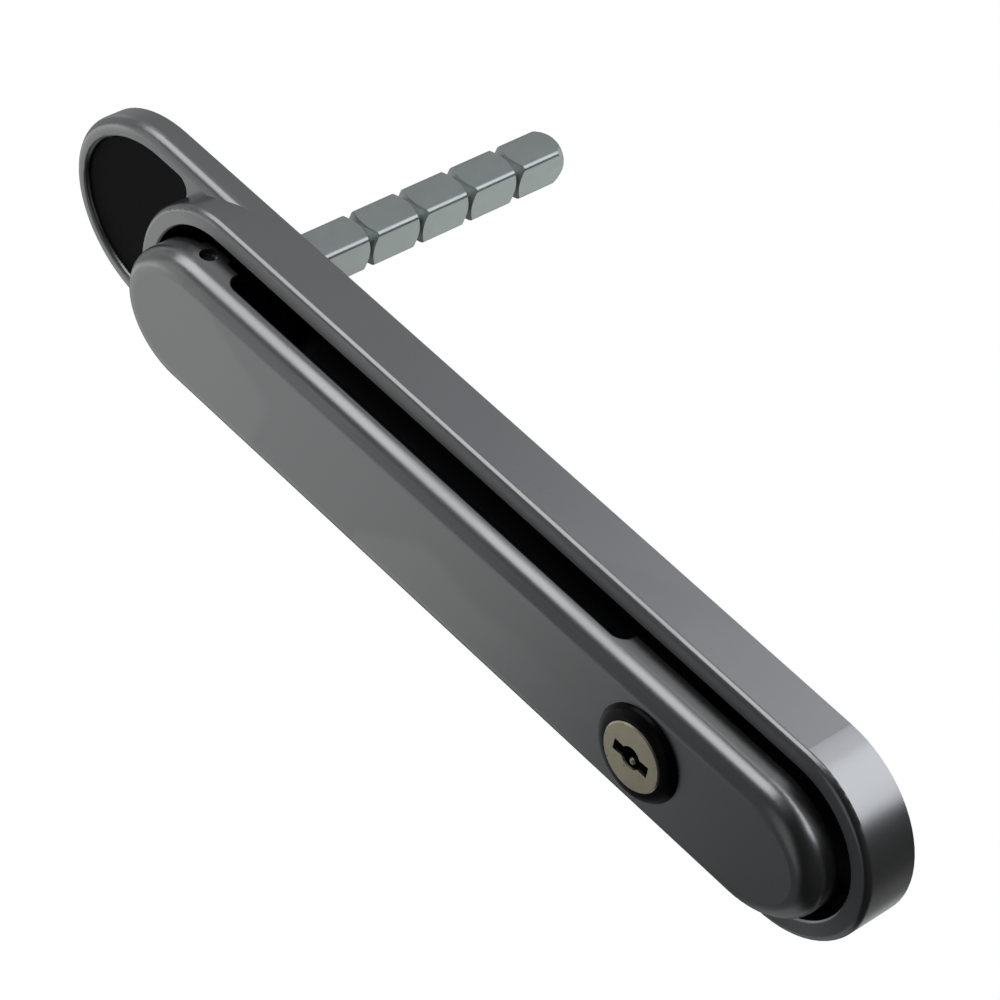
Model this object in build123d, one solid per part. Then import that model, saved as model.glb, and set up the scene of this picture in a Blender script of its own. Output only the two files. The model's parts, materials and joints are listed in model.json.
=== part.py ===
from build123d import *

import os
from math import cos, radians, sin, tan

# Low-profile door handle that folds flat into its own backplate, for a bi-fold door.
# X runs across the handle, +Z up along it, and -Y out of the door towards the hand.
# The origin is on the spindle's axis in the plane of the door's face.
# A height is measured out from the door's face, towards the hand. Behind the door's face it is negative.

# Backplate
plate_half_width = 19.7
plate_lower_centre = -148.5
low_end_centre = 23.0
low_end_rise = 23.1
low_height = 5.9
low_edge_round = 2.3
rim_height = 10.9
rim_width = 3.95
rim_outer_round = 1.2
rim_inner_bevel = 0.3
floor_height = 3.0
seat_height = 1.6
relief_depth = 1.2
relief_margin = 6.0
relief_cells = 4
relief_top = -26.0
relief_bottom = -112.0
relief_rib = 3.0
spigot_radius = 12.0
spigot_length = 4.0

# Fixing posts behind the plate, for M5 screws through the door
post_radius = 5.0
post_length = 6.0
post_upper = 30.0
post_spacing = 172.0
post_thread_radius = 2.1
post_thread_end = 1.2

# Black pad in the low end
pad_margin = 3.85
pad_thickness = 1.4
pad_sink = 0.9
pad_rim_round = 0.8
pad_corner_round = 2.5
pad_gap = 0.15

# Spindle
spindle_side = 8.0
spindle_corner_round = 0.85
spindle_reach = 74.4
spindle_socket_gap = 0.05
spindle_insertion = 3.4
spindle_tip_radius = 5.7
groove_first = 24.6
groove_pitch = 12.1
groove_count = 4
groove_neck_radius = 3.2
groove_flare = 0.6
spindle_pin_radius = 1.25
spindle_pin_height = -2.0
spindle_pin_recess = 0.4

# Hub
journal_radius = 8.0
running_gap = 0.05
bush_wall = 1.45
bush_flange_radius = 10.5
bush_flange_thickness = 0.6
axial_gap = 0.15
hub_flange_gap = 0.45
hub_flange_thickness = 2.5
hub_flange_cut = 7.0
tower_front = 5.7
tower_back = 9.0
tower_corner_round = 3.0
washer_thickness = 0.5
washer_rim = 3.0
circlip_thickness = 0.8
circlip_groove = 0.6
circlip_rim = 2.0
journal_tail = 1.0

# Hinge
hinge_depth = 3.1
hinge_pin_radius = 1.5
hinge_pin_recess = 1.5
hinge_recess_radius = 1.75
hinge_washer_thickness = 0.9
fold_limit = 35.0
stop_gap = 0.3

# Lever
lever_side_gap = 2.25
lever_top_gap = 0.85
lever_bottom_gap = 1.95
lever_end_rise = 16.0
lever_thickness = 7.8
lever_slope = 0.31
lever_edge_round = 4.0
lever_skin = 3.5
lever_wall = 2.0
lever_rim_gap = 0.3
ear_radius = 4.0
ear_boss = 0.8
ear_root = 0.5
notch_top = -7.2
notch_bottom = -110.8
notch_rise = 2.9
notch_round = 2.5
notch_edge_round = 0.6

# Black tray inside the lever
liner_gap = 0.1
liner_top = -27.0
liner_bottom = -109.5
liner_depth = 3.4
liner_wall = 1.4
liner_base = 1.3
liner_corner_round = 3.0
liner_ribs = 5
liner_rib_width = 1.2
liner_rib_drop = 0.6

# Lock
lock_place = -122.8
plug_radius = 6.58
plug_standout = 2.0
plug_web = 1.25
plug_edge_bevel = 0.25
keyhole_radius = 2.2
keyhole_length = 8.1
keyhole_neck = 1.9
keyhole_flare = 2.4
keyhole_depth = 2.8
key_post_radius = 0.75
key_post_sink = 0.5
key_post_round = 0.6
key_post_offset = 1.35
bezel_radius = 9.1
bezel_height = 1.75
bezel_seat_depth = 0.12
bezel_seat_gap = 0.1
barrel_radius = 7.8
barrel_gap = 0.05
barrel_end_wall = 1.2
nut_wall = 2.2
nut_side_gap = 0.3
nut_thickness = 2.2
nut_gap = 0.05

# Lock bolt and its keeper
bolt_radius = 2.5
bolt_retreat = 0.5
bolt_end_bevel = 0.5
bolt_bore_gap = 0.05
keeper_radius = 5.0
keeper_drop = 0.5
keeper_bush_radius = 3.9
keeper_hole_radius = 2.8
keeper_depth = 4.0

# Sizes that follow from those above
cavity_half_width = plate_half_width - rim_width
lever_half_width = cavity_half_width - lever_side_gap
lever_top_centre = cavity_half_width - lever_top_gap - lever_end_rise
lever_bottom_centre = plate_lower_centre - cavity_half_width + lever_bottom_gap + lever_end_rise
hub_flange_radius = cavity_half_width - hub_flange_gap
post_lower = post_upper - post_spacing
bush_outer_radius = journal_radius + running_gap + bush_wall
bush_top = seat_height + bush_flange_thickness
hub_flange_back = bush_top + axial_gap
hub_flange_front = hub_flange_back + hub_flange_thickness
washer_front = -spigot_length - running_gap
circlip_front = washer_front - washer_thickness
journal_end = circlip_front - circlip_thickness - journal_tail
lever_back = rim_height + lever_rim_gap
lever_height = lever_back + lever_thickness
lever_inside = lever_height - lever_skin
lock_seat = lever_height + lock_place * tan(radians(lever_slope)) - bezel_seat_depth
lever_cavity_half_width = lever_half_width - lever_wall
hinge_height = lever_inside - hinge_depth
tower_radius = hinge_depth - stop_gap
ear_inside = lever_cavity_half_width - ear_boss
tower_half_width = ear_inside - hinge_washer_thickness - 2 * running_gap
liner_half_width = lever_cavity_half_width - liner_gap
nut_half_flats = barrel_radius + nut_wall
liner_rim = lever_inside - liner_depth
barrel_end = lever_back + bolt_retreat
plug_back = barrel_end + barrel_end_wall + running_gap
plug_height = lock_seat + plug_standout
keyhole_floor = plug_height - keyhole_depth
bolt_bore_end = keyhole_floor - plug_web
keeper_height = rim_height - keeper_drop
keeper_floor = keeper_height - keeper_depth
low_end_overlap = 10.0
overcut = 1.0


def slab(outline, low, high):
    """A flat outline, drawn in X and Z, made solid between two heights."""
    return extrude(Plane.XZ.offset(low) * outline, high - low)


def disc(radius, low, high, place=0.0):
    return slab(Pos(0, place) * Circle(radius), low, high)


def oval(half_width, top_centre, bottom_centre):
    """An outline with straight sides and round ends, which stands along Z."""
    middle = (top_centre + bottom_centre) / 2
    return Pos(0, middle) * SlotCenterToCenter(top_centre - bottom_centre, 2 * half_width, rotation=90)


def front_edges(solid):
    return solid.faces().sort_by(Axis.Y)[0].edges()


def low_end_outline(inset):
    half_width = plate_half_width - inset
    straight = Rectangle(2 * half_width, low_end_centre + low_end_overlap)
    straight = Pos(0, (low_end_centre - low_end_overlap) / 2) * straight
    return straight + Pos(0, low_end_centre) * Ellipse(half_width, low_end_rise - inset)


def pad_outline(gap):
    """The inlay follows the low end's edge and stops at the round end of the collar."""
    outline = low_end_outline(pad_margin + gap) - Circle(plate_half_width + pad_gap + gap)
    outline = outline.faces().sort_by(Axis.Y)[-1]
    return fillet(outline.vertices().group_by(Axis.Y)[0], pad_corner_round)


def low_end():
    """The flat end below the collar, with a soft-edged recess for the pad."""
    solid = slab(low_end_outline(0), 0, low_height)
    edges = [edge for edge in front_edges(solid) if edge.center().Z > -low_end_overlap + 1]
    solid = fillet(edges, low_edge_round)
    recessed = solid - slab(pad_outline(-pad_gap), low_height - pad_sink - pad_thickness, rim_height)
    rim = new_edges(solid, combined=recessed).group_by(Axis.Y)[0]
    return fillet(rim, pad_rim_round)


def collar():
    solid = slab(oval(plate_half_width, 0, plate_lower_centre), 0, rim_height)
    solid = fillet(front_edges(solid), rim_outer_round)
    opening = oval(cavity_half_width, 0, plate_lower_centre)
    solid -= slab(opening, floor_height, rim_height + overcut)
    rim = solid.faces().sort_by(Axis.Y)[0]
    return chamfer(rim.inner_wires().edges(), rim_inner_bevel)


def relief_pockets():
    """Shallow hollows behind the floor, which leave a web between neighbours."""
    step = (relief_top - relief_bottom) / relief_cells
    width = 2 * (plate_half_width - relief_margin)
    cell = RectangleRounded(width, step - relief_rib, relief_rib)
    places = [relief_bottom + step * (index + 0.5) for index in range(relief_cells)]
    return [slab(Pos(0, place) * cell, -overcut, relief_depth) for place in places]


def backplate():
    solid = low_end() - slab(oval(cavity_half_width, 0, plate_lower_centre), floor_height, low_height)
    solid += collar()
    solid -= disc(cavity_half_width, seat_height, rim_height + overcut)
    solid += disc(spigot_radius, -spigot_length, seat_height)
    solid += disc(keeper_radius, floor_height - relief_depth, keeper_height, lock_place)
    solid -= relief_pockets()
    for place in (post_upper, post_lower):
        solid += disc(post_radius, -post_length, relief_depth, place)
        solid -= disc(post_thread_radius, -post_length - overcut, post_thread_end, place)
    solid -= disc(bush_outer_radius, -spigot_length - overcut, rim_height)
    solid -= disc(keeper_bush_radius, keeper_floor, rim_height, lock_place)
    return solid


def recess_pad():
    front = low_height - pad_sink
    return slab(pad_outline(0), front - pad_thickness, front)


def hub_bush():
    tube = disc(bush_outer_radius, -spigot_length, seat_height)
    flange = disc(bush_flange_radius, seat_height, bush_top)
    return tube + flange - disc(journal_radius + running_gap, -spigot_length - overcut, bush_top + overcut)


def keeper_bush():
    ring = disc(keeper_bush_radius, keeper_floor, keeper_height, lock_place)
    return ring - disc(keeper_hole_radius, keeper_floor - overcut, keeper_height + overcut, lock_place)


def hinge_point(angle, distance):
    """A point round the hinge pin in Y and Z, by its angle from straight out of the door."""
    out = hinge_height + distance * cos(radians(angle))
    return (-out, distance * sin(radians(angle)))


def tower():
    """Carries the hinge pin. Its sloping face stops the lever when that is folded right out."""
    stop = hinge_point(fold_limit, tower_radius)
    run = (tower_front - stop[1]) * tan(radians(fold_limit))
    foot = -hub_flange_back
    outline = Polyline(
        (-hinge_height, -tower_radius),
        (-hub_flange_front, -tower_back),
        (foot, -tower_back),
        (foot, tower_front),
        (stop[0] + run, tower_front),
        stop,
    )
    crown = ThreePointArc(stop, hinge_point((fold_limit - 90) / 2, tower_radius), (-hinge_height, -tower_radius))
    solid = extrude(Plane.YZ * make_face(outline + crown), tower_half_width, both=True)
    return fillet(solid.edges().filter_by(Axis.Y).group_by(Axis.Z)[-1], tower_corner_round)


def hub():
    flange = disc(hub_flange_radius, hub_flange_back, hub_flange_front)
    reach = 2 * hub_flange_radius
    cut = Pos(0, hub_flange_cut + reach / 2) * Rectangle(reach, reach)
    flange -= slab(cut, 0, rim_height)
    solid = flange + tower() + disc(journal_radius, journal_end, hub_flange_back)
    groove_end = circlip_front - circlip_thickness
    groove = disc(journal_radius + 1, groove_end, circlip_front)
    solid -= groove - disc(journal_radius - circlip_groove, groove_end, circlip_front)
    socket = Rectangle(spindle_side + 2 * spindle_socket_gap, spindle_side + 2 * spindle_socket_gap)
    solid -= slab(socket, journal_end - overcut, spindle_insertion)
    solid -= across(spindle_pin_radius, journal_radius + overcut, -spindle_pin_height)
    return solid - across(hinge_pin_radius + running_gap, tower_half_width + overcut, -hinge_height)


def across(radius, half_length, place):
    """A round bar along X through the spindle's axis, at a place along Y."""
    return extrude(Plane.YZ * Pos(place, 0) * Circle(radius), half_length, both=True)


def groove_cutter(place):
    depth = spindle_side - groove_neck_radius
    flare = depth * groove_flare
    points = [(groove_neck_radius, place), (spindle_side, place - flare), (spindle_side, place + flare)]
    return revolve(make_face(Polyline(*points, close=True)), Axis.Y)


def spindle():
    section = RectangleRounded(spindle_side, spindle_side, spindle_corner_round)
    bar = slab(section, -spindle_reach, spindle_insertion)
    ball_centre = spindle_reach - spindle_tip_radius
    dome = Pos(0, ball_centre, 0) * Sphere(spindle_tip_radius)
    bar &= dome + disc(spindle_side, -ball_centre, spindle_insertion)
    for index in range(groove_count):
        bar -= groove_cutter(groove_first + index * groove_pitch)
    return bar - across(spindle_pin_radius, spindle_side, -spindle_pin_height)


def spindle_pin():
    return across(spindle_pin_radius, journal_radius - spindle_pin_recess, -spindle_pin_height)


def hub_washer():
    ring = disc(journal_radius + washer_rim, circlip_front, washer_front)
    return ring - disc(journal_radius + running_gap, circlip_front - overcut, washer_front + overcut)


def hub_circlip():
    back = circlip_front - circlip_thickness
    ring = disc(journal_radius + circlip_rim, back, circlip_front)
    ring -= disc(journal_radius - circlip_groove, back - overcut, circlip_front + overcut)
    mouth = Pos(0, -journal_radius) * Rectangle(journal_radius, journal_radius)
    return ring - slab(mouth, back - overcut, circlip_front + overcut)


def lever_outline(inset):
    """Straight sides that end in half ellipses."""
    half_width = lever_half_width - inset
    middle = (lever_top_centre + lever_bottom_centre) / 2
    outline = Pos(0, middle) * Rectangle(2 * half_width, lever_top_centre - lever_bottom_centre)
    for centre in (lever_top_centre, lever_bottom_centre):
        outline += Pos(0, centre) * Ellipse(half_width, lever_end_rise - inset)
    return outline


def ears():
    """Round lugs on the two walls, which carry the hinge pin."""
    lugs = across(ear_radius, lever_half_width, -hinge_height) & slab(lever_outline(0), 0, lever_back)
    lugs += across(ear_radius, lever_cavity_half_width + ear_root, -hinge_height)
    return lugs - across(ear_radius + overcut, ear_inside, -hinge_height)


def notch_cutter():
    """The finger notch opens through one wall and through the wall's back edge."""
    opening = -(lever_back - 2 * notch_round)
    lip = -(lever_back + notch_rise)
    middle = ((opening + lip) / 2, (notch_top + notch_bottom) / 2)
    outline = Pos(*middle) * RectangleRounded(opening - lip, notch_top - notch_bottom, notch_round)
    inner = lever_cavity_half_width - liner_gap
    return extrude(Plane.YZ.offset(inner) * outline, lever_half_width - inner + overcut)


def lever_front():
    """The lever's front falls gently from the hinge towards the lock."""
    slope = radians(lever_slope)
    return Plane(origin=(0, -lever_height, 0), z_dir=(0, -cos(slope), -sin(slope)))


def lever_shell():
    solid = slab(lever_outline(0), lever_back, lever_height + lever_edge_round)
    solid = split(solid, bisect_by=lever_front(), keep=Keep.BOTTOM)
    solid = fillet(front_edges(solid), lever_edge_round)
    solid -= slab(lever_outline(lever_wall), lever_back - overcut, lever_inside)
    solid -= nut_blank(nut_side_gap)
    solid += ears()
    notched = solid - notch_cutter()
    lip = new_edges(solid, combined=notched).group_by(Axis.X)[-1]
    solid = fillet(lip, notch_edge_round)
    solid -= across(hinge_pin_radius, lever_half_width + overcut, -hinge_height)
    recess = across(hinge_recess_radius, lever_half_width + overcut, -hinge_height)
    solid -= recess - across(hinge_recess_radius, lever_half_width - hinge_pin_recess, -hinge_height)
    solid -= disc(bezel_radius + bezel_seat_gap, lock_seat, lever_height, lock_place)
    return solid - disc(barrel_radius + barrel_gap, lever_back, lever_height, lock_place)


def hinge_pin():
    return across(hinge_pin_radius, lever_half_width - hinge_pin_recess, -hinge_height)


def hinge_washer(side):
    inner = tower_half_width + running_gap
    outer = ear_inside - running_gap
    section = Circle(tower_radius) - Circle(hinge_pin_radius + running_gap)
    ring = extrude(Plane.YZ.offset(inner) * Pos(-hinge_height, 0) * section, outer - inner)
    return ring if side > 0 else mirror(ring, Plane.YZ)


def lever_liner():
    length = liner_top - liner_bottom
    middle = (liner_top + liner_bottom) / 2
    outline = Pos(0, middle) * RectangleRounded(2 * liner_half_width, length, liner_corner_round)
    solid = slab(outline, liner_rim, lever_inside)
    width = 2 * (liner_half_width - liner_wall)
    hollow = RectangleRounded(width, length - 2 * liner_wall, liner_corner_round - liner_wall)
    solid -= slab(Pos(0, middle) * hollow, liner_rim - overcut, lever_inside - liner_base)
    step = length / (liner_ribs + 1)
    for index in range(liner_ribs):
        rib = Pos(0, liner_bottom + step * (index + 1)) * Rectangle(width + liner_wall, liner_rib_width)
        solid += slab(rib, liner_rim + liner_rib_drop, lever_inside - liner_base)
    return solid


def lock_bezel():
    """A ring that swells from its outer edge up to the plug."""
    inner = plug_radius + running_gap
    width = bezel_radius - inner
    swell = Pos(inner, 0) * Ellipse(width, bezel_height)
    quarter = Pos(inner + width / 2, -bezel_height / 2) * Rectangle(width, bezel_height)
    return Pos(0, -lock_seat, lock_place) * revolve(swell & quarter, Axis.Y)


def lock_barrel():
    solid = disc(barrel_radius, barrel_end, lock_seat, lock_place)
    solid -= disc(plug_radius + running_gap, barrel_end + barrel_end_wall, plug_height, lock_place)
    return solid - disc(bolt_radius + bolt_bore_gap, barrel_end - overcut, plug_height, lock_place)


def nut_blank(gap):
    """The nut's six-sided form. With a gap it makes room for the nut in the lever's walls."""
    hexagon = RegularPolygon(nut_half_flats + gap, 6, major_radius=False, rotation=30)
    return slab(Pos(0, lock_place) * hexagon, lever_inside - nut_thickness, lever_inside)


def lock_nut():
    return nut_blank(0) - disc(barrel_radius + nut_gap, lever_back, lever_height, lock_place)


def keyhole():
    """A slot along the handle that flares at both ends, over a round well."""
    half = keyhole_length / 2
    flare = keyhole_flare / 2
    neck = keyhole_neck / 2
    blade = Polyline(
        (flare, half),
        (neck, 0),
        (flare, -half),
        (-flare, -half),
        (-neck, 0),
        (-flare, half),
        close=True,
    )
    return Pos(0, lock_place) * (make_face(blade) + Circle(keyhole_radius))


def lock_plug():
    solid = disc(plug_radius, plug_back, plug_height, lock_place)
    solid = chamfer(front_edges(solid), plug_edge_bevel)
    solid -= slab(keyhole(), keyhole_floor, plug_height + overcut)
    return solid - disc(bolt_radius + bolt_bore_gap, barrel_end, bolt_bore_end, lock_place)


def lock_post():
    """A round-ended pin in the keyhole's well, which stands off the lock's axis."""
    pin = disc(key_post_radius, keyhole_floor, plug_height - key_post_sink, lock_place)
    return Pos(-key_post_offset, 0, 0) * fillet(front_edges(pin), key_post_round)


def lock_bolt():
    solid = disc(bolt_radius, barrel_end, bolt_bore_end - axial_gap, lock_place)
    return chamfer(solid.faces().sort_by(Axis.Y)[-1].edges(), bolt_end_bevel)


PIECES = {
    "backplate": backplate,
    "recess_pad": recess_pad,
    "hub_bush": hub_bush,
    "keeper_bush": keeper_bush,
    "hub": hub,
    "spindle": spindle,
    "spindle_pin": spindle_pin,
    "hub_washer": hub_washer,
    "hub_circlip": hub_circlip,
    "lever_shell": lever_shell,
    "lever_liner": lever_liner,
    "hinge_pin": hinge_pin,
    "hinge_washer_left": lambda: hinge_washer(-1),
    "hinge_washer_right": lambda: hinge_washer(1),
    "lock_bezel": lock_bezel,
    "lock_barrel": lock_barrel,
    "lock_nut": lock_nut,
    "lock_plug": lock_plug,
    "lock_post": lock_post,
    "lock_bolt": lock_bolt,
}

os.makedirs("parts", exist_ok=True)
for name, make in PIECES.items():
    export_step(make(), f"parts/{name}.step")
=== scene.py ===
import json
from math import cos, pi, radians, sin, tan

import bpy
from mathutils import Matrix, Vector

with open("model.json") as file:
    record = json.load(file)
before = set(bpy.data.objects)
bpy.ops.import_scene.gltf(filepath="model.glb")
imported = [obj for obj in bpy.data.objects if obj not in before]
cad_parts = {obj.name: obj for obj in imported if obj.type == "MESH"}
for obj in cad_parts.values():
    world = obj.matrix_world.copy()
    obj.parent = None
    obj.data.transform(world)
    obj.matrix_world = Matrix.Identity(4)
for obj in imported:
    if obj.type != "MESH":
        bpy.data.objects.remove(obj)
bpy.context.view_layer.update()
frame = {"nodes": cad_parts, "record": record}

# Places on the handle in metres, in the CAD's frame: X across it, Y into the door and Z up along it.
# The faces towards the hand have the lowest Y.
PLUG_FACE = -0.0202
RIM_FACE = -0.0109
MIDDLE = Vector((0, 0.0016, -0.0658))

# The collar's rim, measured from the collar's middle line, and the angle by which its face falls outwards.
RIM_INNER_EDGE = 0.01575
RIM_OUTER_EDGE = 0.0196
RIM_FALL_DEGREES = 10
COLLAR_LOWER_CENTRE = -0.1485

# Where the painted shade inside the collar ends: in the floor's thickness, before the hollows in its back.
PAINTED_SHADE_END = -0.0014

# The camera's three angles in degrees, its distance from the middle in metres, and its lens and sensor in millimetres.
CAMERA_AZIMUTH = 51.022
CAMERA_ELEVATION = -27.794
CAMERA_ROLL = -47.845
CAMERA_DISTANCE = 0.67786
CAMERA_LENS = 140.97
CAMERA_SENSOR = 36

FLOOR_SIZE = 8
FLOOR_HEIGHT = -1.2

# Sockets that a colour Mix node has to be asked for by their place.
FIRST_COLOUR, SECOND_COLOUR, MIXED_COLOUR = 6, 7, 2

WHITE = (1, 1, 1)
COOL = (0.93, 0.955, 1.0)
GREENISH = (0.94, 1.0, 0.97)
ROOM_COLOUR = (0.92, 0.96, 1.0)
ROOM_STRENGTH = 0.08

# Each lamp: its direction from the handle, its distance, width, height and radiance, and its colour.
LAMPS = {
    "key": ((0.84, -0.18, 0.5), 1.2, 0.8, 1.2, 1.6, WHITE),
    "side wall": ((0.735, 0.59, -0.30), 1.2, 0.75, 1.46, 1.2, COOL),
    "side core": ((0.705, 0.565, -0.42), 1.25, 0.78, 1.1, 0.85, COOL),
    "side step": ((0.74, 0.59, 0.28), 1.2, 0.75, 0.4, 0.7, COOL),
    "upper back": ((0.15, 0.55, 0.82), 1.2, 2.2, 1.0, 0.25, COOL),
    "top": ((-0.12, -0.06, 0.99), 0.6, 0.5, 0.5, 0.28, WHITE),
    "overhead": ((-0.62, -0.35, 0.70), 1.2, 1.2, 0.9, 0.52, WHITE),
    "front top": ((0.05, -0.70, 0.72), 0.9, 0.75, 0.55, 0.42, WHITE),
    "low back": ((-0.70, 0.6, -0.38), 1.2, 0.7, 0.7, 0.19, WHITE),
    "behind the spindle": ((-0.618, 0.765, -0.236), 0.2266, 0.15, 0.13, 0.80, GREENISH),
    "front fill": ((0.0, -0.99, -0.14), 1.2, 1.1, 0.5, 0.20, WHITE),
    "left fill": ((-0.98, -0.08, -0.10), 1.2, 1.0, 0.8, 0.18, WHITE),
    "back fill": ((-0.05, 1.0, -0.06), 1.2, 1.0, 0.9, 0.75, WHITE),
    "under back": ((-0.10, 0.60, -0.79), 1.1, 1.2, 0.5, 0.035, WHITE),
}


class Value:
    """A number that changes over a surface. Python's operators add the Math nodes that work it out."""

    def __init__(self, nodes, socket):
        self.nodes = nodes
        self.socket = socket

    def math(self, operation, *terms):
        return self.nodes.node("ShaderNodeMath", {"operation": operation}, dict(enumerate(terms)))

    def __add__(self, other):
        return self.math("ADD", self, other)

    __radd__ = __add__

    def __sub__(self, other):
        return self.math("SUBTRACT", self, other)

    def __rsub__(self, other):
        return self.math("SUBTRACT", other, self)

    def __mul__(self, other):
        return self.math("MULTIPLY", self, other)

    __rmul__ = __mul__

    def root(self):
        return self.math("SQRT", self)

    def held_between(self, low, high):
        return self.math("MINIMUM", self.math("MAXIMUM", self, low), high)

    def above(self, edge, softness):
        """0 below an edge and 1 above it, with a soft step of the given width."""
        return self.nodes.node(
            "ShaderNodeMapRange",
            {"interpolation_type": "SMOOTHSTEP"},
            {"Value": self, "From Min": edge - softness / 2, "From Max": edge + softness / 2},
        )


class Nodes:
    """The nodes of one material or of the world. Every node comes from one method."""

    def __init__(self, owner):
        owner.use_nodes = True
        self.tree = owner.node_tree
        self.tree.nodes.clear()

    def node(self, kind, settings, sockets, output=0):
        node = self.tree.nodes.new(kind)
        for name, setting in settings.items():
            setattr(node, name, setting)
        for name, given in sockets.items():
            if isinstance(given, Value):
                self.tree.links.new(given.socket, node.inputs[name])
            else:
                node.inputs[name].default_value = given
        return Value(self, node.outputs[output]) if node.outputs else None

    def seen_by_camera(self):
        return self.node("ShaderNodeLightPath", {}, {}, "Is Camera Ray")


class Finish(Nodes):
    """The material of one finish, laid out on the object's own coordinates."""

    def __init__(self, name):
        self.material = bpy.data.materials.new(name)
        super().__init__(self.material)
        self.place = self.node("ShaderNodeTexCoord", {}, {}, "Object")

    def axis(self, name):
        return self.node("ShaderNodeSeparateXYZ", {}, {"Vector": self.place}, name)

    def stretched(self, scale, location=(0, 0, 0)):
        """The object's own coordinates, stretched so that a grain runs one way."""
        sockets = {"Vector": self.place, "Scale": scale, "Location": location}
        return self.node("ShaderNodeMapping", {}, sockets)

    def noise(self, scale, detail=3.0, roughness=0.55, place=None):
        sockets = {
            "Vector": place or self.place,
            "Scale": scale,
            "Detail": detail,
            "Roughness": roughness,
        }
        return self.node("ShaderNodeTexNoise", {}, sockets, "Fac")

    def blend(self, share, first, second):
        """A colour between two others."""
        first, second = ((*end, 1) if isinstance(end, tuple) else end for end in (first, second))
        sockets = {"Factor": share, FIRST_COLOUR: first, SECOND_COLOUR: second}
        return self.node("ShaderNodeMix", {"data_type": "RGBA"}, sockets, MIXED_COLOUR)

    def from_middle(self):
        """How far a point lies from the collar's middle line."""
        x, z = self.axis("X"), self.axis("Z")
        past = z - z.held_between(COLLAR_LOWER_CENTRE, 0.0)
        return (x * x + past * past).root()

    def painted_shade_in_collar(self, out):
        """Where painted shade darkens the collar's inside: 1 on its inner wall and floor, and 0 on its rim and on the
        back with its hollows.
        """
        depth = self.axis("Y")
        within_rim = 1 - out.above(RIM_INNER_EDGE + 0.0002, softness=0.0002)
        below_rim = depth.above(RIM_FACE + 0.0009, softness=0.0008)
        return within_rim * below_rim * (1 - depth.above(PAINTED_SHADE_END, softness=0.0002))

    def rim_fall(self, out):
        """The height of a rim whose face falls gently outwards all round the collar."""
        out = out.held_between(RIM_INNER_EDGE, RIM_OUTER_EDGE)
        near_rim = 1 - self.axis("Y").above(RIM_FACE + 0.005, softness=0.002)
        return (RIM_OUTER_EDGE - out) * tan(radians(RIM_FALL_DEGREES)) * near_rim

    def bump(self, height, distance, strength=1.0):
        sockets = {"Height": height, "Distance": distance, "Strength": strength}
        return self.node("ShaderNodeBump", {}, sockets)

    def surface(self, **sockets):
        """Ends the material in one Principled shader."""
        named = {name.replace("_", " "): given for name, given in sockets.items()}
        return self.end(self.node("ShaderNodeBsdfPrincipled", {}, named))

    def end(self, shader):
        self.node("ShaderNodeOutputMaterial", {}, {"Surface": shader})
        return self.material


def satin_casting():
    """Satin silver on a die casting: soft gloss, a faint grain, a thin film of handling on it, and painted shade
    inside the collar.
    """
    finish = Finish("satin silver casting")
    film = finish.noise(26, detail=2.0, roughness=0.45)
    shifted = finish.stretched((1.6, 1, 0.7), location=(0.3, 0.1, 0.2))
    smudge = finish.noise(34, detail=1.0, roughness=0.4, place=shifted).above(0.53, softness=0.06)
    grain = finish.noise(2600, detail=2.0)
    out = finish.from_middle()
    colour = finish.blend(film.above(0.5, softness=0.4), (0.318, 0.318, 0.322), (0.338, 0.338, 0.340))
    colour = finish.blend(smudge * 0.6, colour, (0.300, 0.300, 0.304))
    return finish.surface(
        # Painted shade: the collar's inner wall and floor are coloured near black, as if in shade.
        Base_Color=finish.blend(finish.painted_shade_in_collar(out), colour, (0.02, 0.02, 0.022)),
        Metallic=1.0,
        Roughness=0.25 + film * 0.05 + smudge * 0.025 + grain * 0.03,
        Normal=finish.bump(grain * 0.0000016 + finish.rim_fall(out), distance=1.0),
    )


def flat_black_inlay():
    finish = Finish("flat black inlay")
    grain = finish.noise(1800)
    return finish.surface(
        Base_Color=finish.blend(grain, (0.006, 0.006, 0.0065), (0.010, 0.010, 0.0105)),
        Roughness=0.62 + grain * 0.1,
        Specular_IOR_Level=0.12,
        Normal=finish.bump(grain, distance=0.00003, strength=0.5),
    )


def black_moulding():
    finish = Finish("black moulded tray")
    grain = finish.noise(1400)
    return finish.surface(
        Base_Color=finish.blend(grain, (0.003, 0.003, 0.0035), (0.005, 0.005, 0.006)),
        Roughness=0.45 + grain * 0.12,
        Specular_IOR_Level=0.05,
        Normal=finish.bump(grain, distance=0.00002, strength=0.5),
    )


def bearing_plastic():
    finish = Finish("dark bearing plastic")
    grain = finish.noise(900)
    return finish.surface(
        Base_Color=finish.blend(grain, (0.02, 0.02, 0.022), (0.035, 0.035, 0.037)),
        Roughness=0.42 + grain * 0.1,
    )


def black_gloss():
    finish = Finish("gloss black bezel")
    haze = finish.noise(300)
    return finish.surface(
        Base_Color=finish.blend(haze, (0.002, 0.002, 0.003), (0.004, 0.004, 0.0055)),
        Roughness=0.24 + haze * 0.1,
        Specular_IOR_Level=0.1,
    )


def black_oxide():
    """Blackened steel of the hub and the hinge pin, which the gaps show as near black."""
    finish = Finish("blackened steel")
    cloud = finish.noise(500)
    return finish.surface(
        Base_Color=finish.blend(cloud, (0.012, 0.012, 0.013), (0.022, 0.022, 0.024)),
        Metallic=0.4,
        Roughness=0.45 + cloud * 0.12,
    )


def zinc_plate():
    """Bright zinc on drawn steel, with fine drawing lines along the bar."""
    finish = Finish("zinc plated steel")
    lines = finish.noise(1.0, detail=2.0, roughness=0.5, place=finish.stretched((4200, 160, 4200)))
    cloud = finish.noise(420, roughness=0.6)
    return finish.surface(
        Base_Color=finish.blend(cloud, (0.41, 0.44, 0.43), (0.46, 0.49, 0.48)),
        Metallic=1.0,
        Roughness=0.30 + lines * 0.08 + cloud * 0.1,
        Normal=finish.bump(lines, distance=0.000006, strength=0.3),
    )


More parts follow.
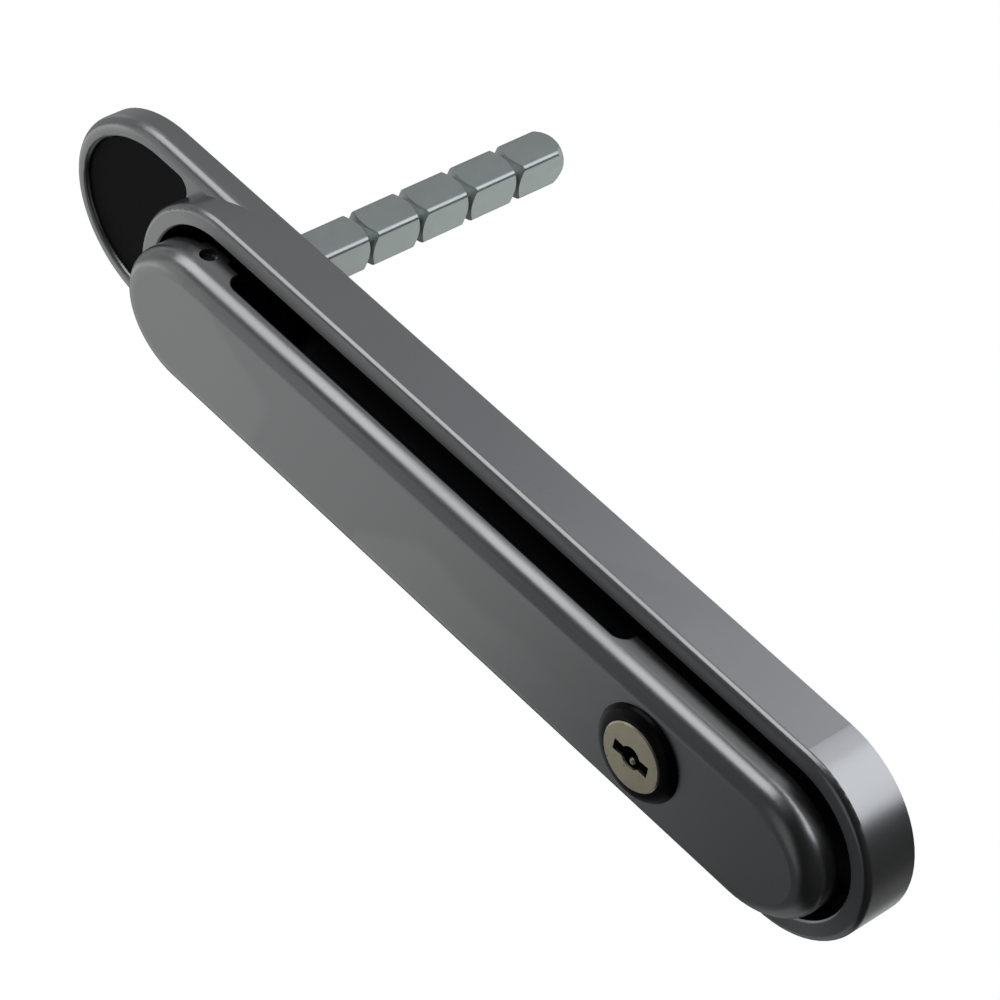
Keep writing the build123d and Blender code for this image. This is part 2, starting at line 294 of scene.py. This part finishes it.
def nickel_plate():
    """Satin nickel on turned brass, with a few black specks. Down inside the keyhole it is painted near black, as
    painted shade.
    """
    finish = Finish("nickel plated brass")
    cloud = finish.noise(420)
    specks = finish.noise(1300, detail=0.0).above(0.84, softness=0.04)
    # Painted shade: below the plug's face, down inside the keyhole, the colour goes near black and the roughness
    # rises.
    keyhole_painted_shade = finish.axis("Y").above(PLUG_FACE + 0.0004, softness=0.0003)
    colour = finish.blend(cloud, (0.69, 0.635, 0.47), (0.755, 0.70, 0.52))
    colour = finish.blend(specks * 0.7, colour, (0.08, 0.075, 0.06))
    return finish.surface(
        Base_Color=finish.blend(keyhole_painted_shade, colour, (0.004, 0.004, 0.003)),
        Metallic=1.0,
        Roughness=0.24 + cloud * 0.1 + keyhole_painted_shade * 0.3,
        Normal=finish.bump(cloud, distance=0.00001, strength=0.25),
    )


def dress_nodes():
    """Gives each CAD node the finish of its slot in the record."""
    finishes = {
        "satin_casting": satin_casting(),
        "black_inlay": flat_black_inlay(),
        "black_tray": black_moulding(),
        "bearing_plastic": bearing_plastic(),
        "zinc_plated_steel": zinc_plate(),
        "blackened_steel": black_oxide(),
        "black_gloss": black_gloss(),
        "nickel_plated_brass": nickel_plate(),
    }
    for part in frame["record"]["subparts"]:
        node = frame["nodes"][part["node"]]
        for slot in node.material_slots:
            slot.material = finishes[part["material_slot"]]


def place_camera():
    """Looks up at the handle from low on its right, with the handle's top turned to the left."""
    azimuth, elevation, roll = (radians(angle) for angle in (CAMERA_AZIMUTH, CAMERA_ELEVATION, CAMERA_ROLL))
    back = Vector((sin(azimuth) * cos(elevation), -cos(azimuth) * cos(elevation), sin(elevation)))
    level = Vector((cos(azimuth), sin(azimuth), 0))
    upright = back.cross(level)
    right = cos(roll) * level + sin(roll) * upright
    up = back.cross(right)
    camera = bpy.data.objects.new("camera", bpy.data.cameras.new("camera"))
    camera.data.sensor_width = CAMERA_SENSOR
    camera.data.lens = CAMERA_LENS
    place = MIDDLE + CAMERA_DISTANCE * back
    camera.matrix_world = Matrix.Translation(place) @ Matrix((right, up, back)).transposed().to_4x4()
    bpy.context.collection.objects.link(camera)
    bpy.context.scene.camera = camera


def softbox(name, direction, distance, width, height, radiance, colour):
    """A soft oblong lamp that faces the handle. Its radiance is what a mirror shows of it."""
    light = bpy.data.lights.new(name, "AREA")
    light.shape = "RECTANGLE"
    light.size = width
    light.size_y = height
    light.energy = pi * width * height * radiance
    light.color = colour
    lamp = bpy.data.objects.new(name, light)
    towards = Vector(direction).normalized()
    lamp.location = MIDDLE + distance * towards
    lamp.rotation_euler = towards.to_track_quat("Z", "Y").to_euler()
    lamp.visible_camera = False
    bpy.context.collection.objects.link(lamp)


def world_light():
    """The camera sees plain white, and all else sees the dim pale room."""
    world = bpy.data.worlds.new("studio")
    bpy.context.scene.world = world
    studio = Nodes(world)
    seen = studio.seen_by_camera()
    room = studio.node("ShaderNodeBackground", {}, {"Color": (*ROOM_COLOUR, 1), "Strength": ROOM_STRENGTH})
    white = studio.node("ShaderNodeBackground", {}, {"Color": (*WHITE, 1), "Strength": 1.0})
    choice = studio.node("ShaderNodeMixShader", {}, {0: seen, 1: room, 2: white})
    studio.node("ShaderNodeOutputWorld", {}, {"Surface": choice})


def pale_floor():
    """The camera sees a pale floor with soft shadows, and the handle mirrors a dim one."""
    finish = Finish("pale floor")
    speck = finish.noise(60, detail=2.0)
    pale = finish.node("ShaderNodeBsdfPrincipled", {}, {
        "Base Color": finish.blend(speck, (0.80, 0.80, 0.80), (0.82, 0.82, 0.82)),
        "Roughness": 0.7,
        "Emission Color": (*WHITE, 1),
        "Emission Strength": 0.7,
    })
    dim = finish.node("ShaderNodeBsdfDiffuse", {}, {"Color": (0.1, 0.1, 0.1, 1)})
    seen = finish.seen_by_camera()
    return finish.end(finish.node("ShaderNodeMixShader", {}, {0: seen, 1: dim, 2: pale}))


def lay_floor():
    bpy.ops.object.select_all(action="DESELECT")
    bpy.ops.mesh.primitive_plane_add(size=FLOOR_SIZE, location=(0, 0, FLOOR_HEIGHT))
    floor = bpy.context.object
    floor.name = "floor"
    floor.data.materials.append(pale_floor())


dress_nodes()
place_camera()
for lamp_name, measures in LAMPS.items():
    softbox(lamp_name, *measures)
world_light()
lay_floor()
bpy.context.scene.view_settings.view_transform = "Standard"
